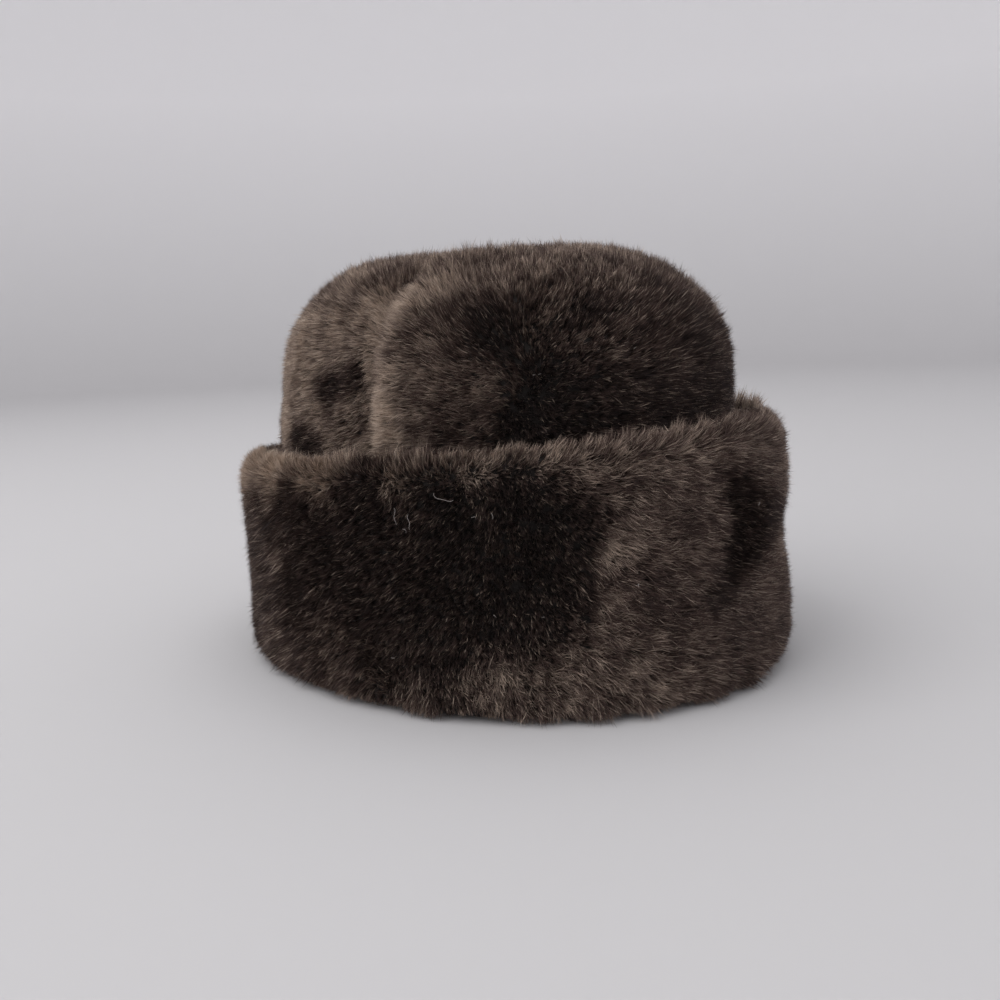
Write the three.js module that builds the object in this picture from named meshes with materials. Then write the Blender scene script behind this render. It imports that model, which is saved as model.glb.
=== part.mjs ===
// A round fur hat of sheared sheepskin: a two-panel crown and a tall turned-up cuff.
// Millimetres, +Z up. The hat rests on its rim at z = 0, with the middle of the head oval at the
// origin. The front of the hat faces -Y and the wearer's right is -X. A bearing is an angle round
// the hat, 0 at the front and 90 at the wearer's right.

import * as THREE from 'three';
import { mergeVertices } from 'three/addons/utils/BufferGeometryUtils.js';

// Head oval, at the inner face of the rim: a head of about 570 mm round
const HEAD_HALF_WIDTH = 82;
const HEAD_HALF_LENGTH = 99;

// Crown: skin and pile together
const CROWN_HEIGHT = 160;
const CROWN_WALL = 9;
const CROWN_FOOT = 2;
const CROWN_FOOT_OFFSET = 9;
const SHOULDER_OFFSET = 4.8;
const SHOULDER_DROP = 51;
const SHOULDER_REACH = 51;
const TOP_DOME = 1.5;

// Seam over the crown, from one side of the head to the other, in front of the middle
const SEAM_Y = -29;
const SEAM_GAP = 0.3;
const SEAM_DEPTH = 2.6;
const SEAM_HALF_WIDTH = 4.5;
const FRONT_BULGE = 1.8;
const FRONT_BULGE_SETBACK = 9;
const BACK_HOLLOW = 1.2;
const BACK_HOLLOW_SETBACK = 12;
const PANEL_FADE_LOW = 62;
const PANEL_FADE_HIGH = 88;

// Cuff: a band of pelt turned up round the crown, higher at the front than at the back
const CUFF_HEIGHT = 89.5;
const CUFF_FRONT_RISE = 8;
const CUFF_LEFT_RISE = 2;
const CUFF_FOOT_OFFSET = 24.7;
const CUFF_TOP_OFFSET = 24.3;
const CUFF_WAIST = 1;
const CUFF_BACK_LEAN = 2.7;
const CUFF_FOOT_ROUND = 9;
const CUFF_ROLL_OUTER = 11;
const CUFF_ROLL_DROP = 9;
const CUFF_INNER_GAP = 0.4;
const CUFF_HEM_CHAMFER = 2;
const CUFF_HUG_HEIGHT = 45;
const CUFF_STAND_OFF = 3.4;

// Fineness of the walls. Columns crowd towards the seam, where the pelt dips.
const FRONT_COLUMNS = 28;
const BACK_COLUMNS = 50;
const SEAM_CROWDING = 0.6;
const WALL_ROWS = 5;
const SHOULDER_ROWS = 8;
const TOP_ROWS = 4;
const CUFF_COLUMNS = 88;
const CUFF_FOOT_ROWS = 3;
const CUFF_FACE_ROWS = 9;
const CUFF_ROLL_ROWS = 4;
const CUFF_INNER_ROWS = 3;

// Colours
const PELT_BROWN = 0x342b28;
const CUFF_BROWN = 0x2e2624;

// Dents and ridges of the crown: each runs along a line from one bearing and height to another.
// A positive depth is a dent and a negative one a ridge, in mm.
const CROWN_FOLDS = [
  { bearing: 93, height: 113, toBearing: 88, toHeight: 111, width: 8, depth: 4 },
  { bearing: 91, height: 115, toBearing: 73, toHeight: 118, width: 5, depth: 2 },
  { bearing: 81, height: 126, toBearing: 74, toHeight: 131, width: 7, depth: -1.6 },
  { bearing: 75, height: 112, toBearing: 75, toHeight: 102, width: 6, depth: 2 },
  { bearing: 100, height: 90, toBearing: 128, toHeight: 90, width: 9, depth: -2.4 },
  { bearing: -38, height: 99, toBearing: 0, toHeight: 103, width: 13, depth: 1.8 },
  { bearing: -30, height: 149, toBearing: -75, toHeight: 150, width: 22, depth: 2.2 },
];

// Dents and ridges of the cuff's outer face
const CUFF_FOLDS = [
  { bearing: -52, height: 51, toBearing: -8, toHeight: 44, width: 8, depth: 3 },
  { bearing: -8, height: 44, toBearing: 1, toHeight: 36, width: 8, depth: 1.6 },
  { bearing: -50, height: 72, toBearing: -14, toHeight: 66, width: 12, depth: -1.6 },
  { bearing: -46, height: 28, toBearing: -20, toHeight: 24, width: 12, depth: -1.4 },
  { bearing: 70, height: 52, toBearing: 35, toHeight: 46, width: 26, depth: 1.2 },
];

const degrees = Math.PI / 180;
const SAME_PLACE = 0.001;
const lerp = THREE.MathUtils.lerp;
const springing = CROWN_HEIGHT - SHOULDER_DROP;

function smoothstep(low, high, value) {
  const t = THREE.MathUtils.clamp((value - low) / (high - low), 0, 1);
  return t * t * (3 - 2 * t);
}

// A smooth bump: 1 in the middle, falling to nothing two steps away
function bell(steps) {
  return Math.exp(-steps * steps);
}

// A point of the head oval grown by an offset, at a bearing in radians
function ovalPoint(offset, bearing, z, shiftY = 0) {
  const x = -(HEAD_HALF_WIDTH + offset) * Math.sin(bearing);
  const y = -(HEAD_HALF_LENGTH + offset) * Math.cos(bearing) + shiftY;
  return new THREE.Vector3(x, y, z);
}

function outwardAt(bearing) {
  const x = -Math.sin(bearing) / HEAD_HALF_WIDTH;
  const y = -Math.cos(bearing) / HEAD_HALF_LENGTH;
  return new THREE.Vector3(x, y, 0).normalize();
}

// How far a set of folds pushes a point in: each fold is a soft trough along its line
function foldDepth(point, folds) {
  const nearest = new THREE.Vector3();
  let depth = 0;
  for (const fold of folds) {
    fold.line.closestPointToPoint(point, true, nearest);
    depth += fold.depth * bell(nearest.distanceTo(point) / fold.width);
  }
  return depth;
}

function placeFolds(table, pointAtHeight) {
  return table.map((row) => {
    const start = pointAtHeight(row.height, row.bearing * degrees);
    const end = pointAtHeight(row.toHeight, row.toBearing * degrees);
    return { line: new THREE.Line3(start, end), width: row.width, depth: row.depth };
  });
}

// A level ring of the crown: its offset from the head oval and its height. The rise runs 0 to 1
// up the wall and 1 to 2 over the shoulder. `inset` gives the inner face.
function crownRing(rise, inset) {
  if (rise <= 1) {
    const offset = lerp(CROWN_FOOT_OFFSET, SHOULDER_OFFSET, rise) - inset;
    return { offset, z: lerp(CROWN_FOOT, springing, rise) };
  }
  const turn = Math.min(rise - 1, 1) * Math.PI / 2;
  const offset = SHOULDER_OFFSET - SHOULDER_REACH + (SHOULDER_REACH - inset) * Math.cos(turn);
  return { offset, z: springing + (SHOULDER_DROP - inset) * Math.sin(turn) };
}

// A rise of 2 to 3 runs over the top to the middle of the seam
function crownPoint(rise, bearing, inset = 0) {
  const level = crownRing(rise, inset);
  const point = ovalPoint(level.offset, bearing, level.z);
  const overTop = Math.max(rise - 2, 0);
  const middle = new THREE.Vector3(0, SEAM_Y, level.z);
  point.lerp(middle, overTop);
  point.z += TOP_DOME * overTop * (2 - overTop);
  return point;
}

function crownPointAtHeight(height, bearing) {
  if (height <= springing) {
    return crownPoint((height - CROWN_FOOT) / (springing - CROWN_FOOT), bearing);
  }
  const turn = Math.asin((height - springing) / SHOULDER_DROP);
  return crownPoint(1 + turn / (Math.PI / 2), bearing);
}

function crownNormal(rise, bearing) {
  const turn = THREE.MathUtils.clamp(rise - 1, 0, 1) * Math.PI / 2;
  const normal = outwardAt(bearing).multiplyScalar(Math.cos(turn));
  normal.z = Math.sin(turn);
  return normal.normalize();
}

// The swell of the front panel, the groove of the seam and the hollow behind it
function seamDepth(point) {
  const behind = point.y - SEAM_Y;
  const groove = SEAM_DEPTH * bell(behind / SEAM_HALF_WIDTH);
  const swell = FRONT_BULGE * bell(behind / FRONT_BULGE_SETBACK + 1);
  const hollow = BACK_HOLLOW * bell(behind / BACK_HOLLOW_SETBACK - 1);
  return groove - swell + hollow;
}

function crownOuterPoint(rise, bearing, folds) {
  const point = crownPoint(rise, bearing);
  const showing = smoothstep(PANEL_FADE_LOW, PANEL_FADE_HIGH, point.z);
  const depth = showing * (foldDepth(point, folds) + seamDepth(point));
  return point.addScaledVector(crownNormal(rise, bearing), -depth);
}

// Rises of the crown's rows: one hidden row behind the cuff, then the wall that shows, the
// shoulder and the top
function crownRises() {
  const firstShowing = (PANEL_FADE_LOW - CROWN_FOOT) / (springing - CROWN_FOOT);
  const rises = [0];
  for (let row = 0; row <= WALL_ROWS; row += 1) {
    rises.push(lerp(firstShowing, 1, row / WALL_ROWS));
  }
  for (let row = 1; row <= SHOULDER_ROWS; row += 1) {
    rises.push(1 + row / SHOULDER_ROWS);
  }
  for (let row = 1; row <= TOP_ROWS; row += 1) {
    rises.push(2 + row / TOP_ROWS);
  }
  return rises;
}

// The bearings of one row of a panel, from seam to seam. The end points lie in the seam's plane.
function panelRow(panel, rise, inset, pointAt) {
  const halfLength = HEAD_HALF_LENGTH + crownRing(rise, inset).offset;
  const seam = Math.acos(-panel.seamY / halfLength);
  const first = panel.front ? -seam : seam;
  const last = panel.front ? seam : 2 * Math.PI - seam;
  const points = [];
  for (let column = 0; column <= panel.columns; column += 1) {
    const even = column / panel.columns;
    const share = lerp(even, smoothstep(0, 1, even), SEAM_CROWDING);
    const point = pointAt(lerp(first, last, share));
    if (column === 0 || column === panel.columns || rise === 3) {
      point.y = panel.seamY;
    }
    points.push(point);
  }
  return points;
}

// A triangle with two corners in one place, as at the middle of the top, is left out
function addTriangle(corners, a, b, c) {
  const shortest = Math.min(a.distanceTo(b), b.distanceTo(c), c.distanceTo(a));
  if (shortest > SAME_PLACE) {
    corners.push(a, b, c);
  }
}

function addQuad(corners, a, b, c, d) {
  addTriangle(corners, a, b, c);
  addTriangle(corners, a, c, d);
}

// Faces of a grid of points whose rows run up and whose columns run clockwise seen from above
function addGrid(corners, rows, facingOut) {
  for (let row = 1; row < rows.length; row += 1) {
    for (let column = 1; column < rows[row].length; column += 1) {
      const a = rows[row - 1][column - 1];
      const b = rows[row - 1][column];
      const c = rows[row][column];
      const d = rows[row][column - 1];
      if (facingOut) {
        addQuad(corners, a, d, c, b);
      } else {
        addQuad(corners, a, b, c, d);
      }
    }
  }
}

function toGeometry(corners) {
  const geometry = new THREE.BufferGeometry().setFromPoints(corners);
  return mergeVertices(geometry, SAME_PLACE);
}

// A panel of the crown: an outer face of pile, an inner face of skin, and the edges between them
function panelGeometry(panel) {
  const folds = placeFolds(CROWN_FOLDS, crownPointAtHeight);
  const rises = crownRises();
  const outer = [];
  const inner = [];
  for (const rise of rises) {
    outer.push(panelRow(panel, rise, 0, (bearing) => crownOuterPoint(rise, bearing, folds)));
    inner.push(panelRow(panel, rise, CROWN_WALL, (bearing) => crownPoint(rise, bearing, CROWN_WALL)));
  }
  const corners = [];
  addGrid(corners, outer, true);
  addGrid(corners, inner, false);
  addGrid(corners, [inner[0], outer[0]], true);
  const lastColumn = panel.columns;
  for (let row = 1; row < rises.length; row += 1) {
    addQuad(corners, outer[row][0], outer[row - 1][0], inner[row - 1][0], inner[row][0]);
    addQuad(
      corners,
      inner[row][lastColumn],
      inner[row - 1][lastColumn],
      outer[row - 1][lastColumn],
      outer[row][lastColumn],
    );
  }
  return toGeometry(corners);
}

// How far back the cuff's outer face lies at a share of its height: its top leans to the back
function cuffLean(share) {
  return CUFF_BACK_LEAN * (share - 0.5);
}

function cuffTop(bearing) {
  return CUFF_HEIGHT + CUFF_FRONT_RISE * Math.cos(bearing) - CUFF_LEFT_RISE * Math.sin(bearing);
}

// The cuff's outer face, between its foot and the start of its top roll
function cuffFacePoint(rise, bearing) {
  const rollStart = cuffTop(bearing) - CUFF_ROLL_OUTER;
  const z = lerp(CUFF_FOOT_ROUND, rollStart, rise);
  const waist = CUFF_WAIST * 4 * rise * (1 - rise);
  const offset = lerp(CUFF_FOOT_OFFSET, CUFF_TOP_OFFSET, rise) - waist;
  return ovalPoint(offset, bearing, z, cuffLean(z / rollStart));
}

function cuffPointAtHeight(height, bearing) {
  const rollStart = cuffTop(bearing) - CUFF_ROLL_OUTER;
  return cuffFacePoint((height - CUFF_FOOT_ROUND) / (rollStart - CUFF_FOOT_ROUND), bearing);
}

// The cuff hugs the crown low down and stands off it towards the top
function cuffInnerPoint(z, bearing) {
  const up = (z - CROWN_FOOT) / (springing - CROWN_FOOT);
  const crownOffset = lerp(CROWN_FOOT_OFFSET, SHOULDER_OFFSET, Math.max(up, 0));
  const standOff = CUFF_STAND_OFF * smoothstep(CUFF_HUG_HEIGHT, cuffTop(bearing), z);
  return ovalPoint(crownOffset + CUFF_INNER_GAP + standOff, bearing, z);
}

function cuffFootPoint(turn, bearing) {
  const inset = CUFF_FOOT_ROUND * (1 - Math.sin(turn));
  const z = CUFF_FOOT_ROUND * (1 - Math.cos(turn));
  return ovalPoint(CUFF_FOOT_OFFSET - inset, bearing, z, cuffLean(0));
}

// The top roll, from the outer face at a turn of 0 over the crest to the inner face
function cuffRollPoint(turn, bearing) {
  const top = cuffTop(bearing);
  const crest = ovalPoint(CUFF_TOP_OFFSET - CUFF_ROLL_OUTER, bearing, top, cuffLean(1));
  const outerSide = turn <= Math.PI / 2;
  const side = outerSide ? cuffFacePoint(1, bearing) : cuffInnerPoint(top - CUFF_ROLL_DROP, bearing);
  const across = Math.abs(Math.cos(turn));
  const x = lerp(crest.x, side.x, across);
  const y = lerp(crest.y, side.y, across);
  return new THREE.Vector3(x, y, lerp(side.z, top, Math.sin(turn)));
}

// The cuff's section, once round: out from the hem, up the face, over the roll and down inside
function cuffSection(bearing, folds) {
  const section = [];
  for (let row = 0; row < CUFF_FOOT_ROWS; row += 1) {
    section.push(cuffFootPoint(row / CUFF_FOOT_ROWS * Math.PI / 2, bearing));
  }
  for (let row = 0; row < CUFF_FACE_ROWS; row += 1) {
    const point = cuffFacePoint(row / CUFF_FACE_ROWS, bearing);
    section.push(point.addScaledVector(outwardAt(bearing), -foldDepth(point, folds)));
  }
  for (let row = 0; row <= 2 * CUFF_ROLL_ROWS; row += 1) {
    section.push(cuffRollPoint(row / CUFF_ROLL_ROWS * Math.PI / 2, bearing));
  }
  const rollFoot = cuffTop(bearing) - CUFF_ROLL_DROP;
  for (let row = 1; row <= CUFF_INNER_ROWS; row += 1) {
    section.push(cuffInnerPoint(lerp(rollFoot, CUFF_HEM_CHAMFER, row / CUFF_INNER_ROWS), bearing));
  }
  const hemOffset = CROWN_FOOT_OFFSET + CUFF_INNER_GAP + CUFF_HEM_CHAMFER;
  section.push(ovalPoint(hemOffset, bearing, 0));
  section.push(section[0]);
  return section;
}

function cuffGeometry() {
  const folds = placeFolds(CUFF_FOLDS, cuffPointAtHeight);
  const sections = [];
  for (let column = 0; column < CUFF_COLUMNS; column += 1) {
    sections.push(cuffSection(column / CUFF_COLUMNS * 2 * Math.PI, folds));
  }
  sections.push(sections[0]);
  const corners = [];
  addGrid(corners, sections, false);
  return toGeometry(corners);
}

function fur(name, geometry, colour) {
  geometry.computeVertexNormals();
  const material = new THREE.MeshStandardMaterial({ color: colour, roughness: 0.9, metalness: 0 });
  const mesh = new THREE.Mesh(geometry, material);
  mesh.name = name;
  return mesh;
}

const frontPanel = { front: true, seamY: SEAM_Y - SEAM_GAP / 2, columns: FRONT_COLUMNS };
const backPanel = { front: false, seamY: SEAM_Y + SEAM_GAP / 2, columns: BACK_COLUMNS };

const hat = new THREE.Group();
hat.add(fur('crown_front', panelGeometry(frontPanel), PELT_BROWN));
hat.add(fur('crown_back', panelGeometry(backPanel), PELT_BROWN));
hat.add(fur('cuff', cuffGeometry(), CUFF_BROWN));

export default hat;
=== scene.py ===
"""Round hat of sheared sheepskin: the looks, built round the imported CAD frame.

Metres, +Z up, the hat's front towards -Y and the wearer's right towards -X. A bearing is an angle round
the hat in degrees, 0 at the front and 90 at the wearer's right. A comb angle says which way the pile lies:
0 up the wall, 90 round the hat towards the wearer's left, 180 down, 270 towards the wearer's right.
"""

import logging
import math
from dataclasses import dataclass, field
from enum import IntEnum

import bmesh
import bpy
import numpy as np
from mathutils import Matrix, Vector
from mathutils.bvhtree import BVHTree


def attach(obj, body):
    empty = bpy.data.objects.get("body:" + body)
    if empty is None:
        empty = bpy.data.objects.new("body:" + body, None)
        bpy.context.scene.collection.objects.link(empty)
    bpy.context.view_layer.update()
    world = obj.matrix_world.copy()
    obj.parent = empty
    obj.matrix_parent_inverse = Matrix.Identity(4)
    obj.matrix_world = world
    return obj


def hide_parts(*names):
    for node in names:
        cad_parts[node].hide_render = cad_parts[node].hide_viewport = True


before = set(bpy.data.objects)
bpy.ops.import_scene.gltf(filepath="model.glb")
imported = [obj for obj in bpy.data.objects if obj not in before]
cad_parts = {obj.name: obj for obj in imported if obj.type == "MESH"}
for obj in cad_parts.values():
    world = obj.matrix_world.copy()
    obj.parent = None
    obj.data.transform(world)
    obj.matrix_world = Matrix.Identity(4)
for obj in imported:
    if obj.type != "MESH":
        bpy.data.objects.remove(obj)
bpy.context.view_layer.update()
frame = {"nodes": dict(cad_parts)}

MM = 0.001
BODY = "root"
SEED = 4127
PALETTE_MAP = "OFBake"
ROOM = "pile_room"
LEAST_ROOM = 0.6 * MM

log = logging.getLogger("fur_hat")


def smoothstep(low: float, high: float, value: np.ndarray) -> np.ndarray:
    """Eases a value from 0 at low to 1 at high."""
    t = np.clip((value - low) / (high - low), 0.0, 1.0)
    return t * t * (3.0 - 2.0 * t)


def unit(vectors: np.ndarray) -> np.ndarray:
    """Scales each row to a length of one."""
    lengths = np.linalg.norm(vectors, axis=-1, keepdims=True)
    return vectors / np.maximum(lengths, 1e-12)


class Side(IntEnum):
    """Which side of a pelt a face belongs to. The number is its material slot."""

    WOOL = 0
    SKIN = 1


@dataclass(frozen=True)
class HeadOval:
    """The oval of the head, which the crown and the cuff follow at an offset."""

    half_width: float = 82 * MM
    half_length: float = 99 * MM

    def point(self, bearing: float, offset: float, height: float) -> Vector:
        """Finds a point on the grown oval.

        Args:
            bearing: Angle round the hat, in degrees.
            offset: How far the oval is grown.
            height: Height above the floor.

        Returns:
            The point.
        """
        turn = math.radians(bearing)
        x = -(self.half_width + offset) * math.sin(turn)
        y = -(self.half_length + offset) * math.cos(turn)
        return Vector((x, y, height))

    def outward(self, bearing: float) -> Vector:
        """Gives the level direction away from the head at a bearing in degrees."""
        turn = math.radians(bearing)
        return Vector((-math.sin(turn) / self.half_width, -math.cos(turn) / self.half_length, 0)).normalized()

    def leftward(self, bearing: float) -> Vector:
        """Gives the level direction round the hat towards the wearer's left."""
        turn = math.radians(bearing)
        return Vector((self.half_width * math.cos(turn), -self.half_length * math.sin(turn), 0)).normalized()


@dataclass(frozen=True)
class Stroke:
    """One stroke of the hand over the pile, which it lays, and whose shade is painted light and shade on it.
    """

    bearing: float
    height_mm: float
    comb: float
    lean: float
    # shade is painted light and shade: lighter where the laid pile catches the light, darker where it shows
    # its depths or lies in a hollow
    shade: float
    reach_mm: float
    tousle: float = 0.3
    inward_mm: float = 0.0
    longer_mm: float = 0.0


@dataclass(frozen=True)
class WallShape:
    """Where a stroke lies: a wall that stands up to the springing and then turns in over an edge."""

    oval: HeadOval
    offset: float
    springing: float
    drop: float

    def place(self, stroke: Stroke) -> tuple[Vector, Vector]:
        """Finds a stroke's place and the way that it lays the pile.

        Args:
            stroke: The stroke.

        Returns:
            Its middle, and its direction along the surface.
        """
        height = stroke.height_mm * MM
        turn = math.asin(min(max((height - self.springing) / self.drop, 0.0), 1.0))
        offset = self.offset - self.drop * (1 - math.cos(turn)) - stroke.inward_mm * MM
        middle = self.oval.point(stroke.bearing, offset, height)
        outward = self.oval.outward(stroke.bearing)
        rising = Vector((0, 0, 1)) * math.cos(turn) - outward * math.sin(turn)
        comb = math.radians(stroke.comb)
        way = rising * math.cos(comb) + self.oval.leftward(stroke.bearing) * math.sin(comb)
        return middle, way


@dataclass
class Ripple:
    """Soft random unevenness in space, made of a few crossing waves."""

    wavelength: float
    waves: int
    rng: np.random.Generator

    def __post_init__(self) -> None:
        """Draws the waves."""
        ways = unit(self.rng.normal(size=(self.waves, 3)))
        stretch = self.rng.uniform(0.7, 1.5, size=(self.waves, 1))
        self.ways = ways * stretch * 2 * math.pi / self.wavelength
        self.starts = self.rng.uniform(0, 2 * math.pi, size=self.waves)

    def at(self, points: np.ndarray) -> np.ndarray:
        """Gives a value of about -1 to 1 at each point."""
        return np.sin(points @ self.ways.T + self.starts).sum(1) / math.sqrt(self.waves)


@dataclass(frozen=True)
class Unevenness:
    """How much a quality of the pile wanders over the hat, and over what distance."""

    amount: float
    wavelength: float
    waves: int = 7

    def at(self, points: np.ndarray, rng: np.random.Generator) -> np.ndarray:
        """Gives the change at each point."""
        return self.amount * Ripple(self.wavelength, self.waves, rng).at(points)


@dataclass
class NapChart:
    """How the pile lies over one part of the hat: its strokes, blended by distance."""

    shape: WallShape
    strokes: tuple[Stroke, ...]
    rest: Stroke
    rest_weight: float = 0.03
    usual_reach: float = 10 * MM

    def read(self, points: np.ndarray) -> dict[str, np.ndarray]:
        """Blends the strokes at some points.

        Args:
            points: Places on the pelt, one a row.

        Returns:
            The way, lean, shade, tousle and extra length of the pile at each point.
        """
        placed = [self.shape.place(stroke) for stroke in self.strokes]
        middles = np.array([middle for middle, _ in placed])
        ways = np.array([way for _, way in placed])
        reach = np.array([stroke.reach_mm * MM for stroke in self.strokes])
        apart = np.linalg.norm(points[:, None, :] - middles[None, :, :], axis=2)
        weights = np.exp(-((apart / reach) ** 2)) * (self.usual_reach / reach) ** 2
        resting = np.full((len(points), 1), self.rest_weight)
        total = weights.sum(1, keepdims=True) + resting
        blended = {"way": (weights @ ways + resting * self.resting_way(points)) / total}
        for name in ("lean", "shade", "tousle", "longer_mm"):
            values = np.array([getattr(stroke, name) for stroke in self.strokes])
            mixed = (weights @ values)[:, None] + resting * getattr(self.rest, name)
            blended[name] = (mixed / total)[:, 0]
        return blended

    def resting_way(self, points: np.ndarray) -> np.ndarray:
        """Gives the way of the pile that no stroke reaches."""
        oval = self.shape.oval
        round_hat = unit(
            np.stack(
                [
                    -points[:, 1] * oval.half_width / oval.half_length,
                    points[:, 0] * oval.half_length / oval.half_width,
                    np.zeros(len(points)),
                ],
                1,
            )
        )
        comb = math.radians(self.rest.comb)
        return round_hat * math.sin(comb) + np.array([0, 0, 1.0]) * math.cos(comb)


SEAM_Y = -29 * MM
OVAL = HeadOval()
CROWN_SHAPE = WallShape(OVAL, 5 * MM, 109 * MM, 51 * MM)
CUFF_SHAPE = WallShape(OVAL, 24 * MM, 80 * MM, 15 * MM)

# In both charts a stroke's shade is painted light and shade: the light and dark patches of the laid pile, and
# shade in pits, hollows and folds, put into the fibres' colour.
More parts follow.
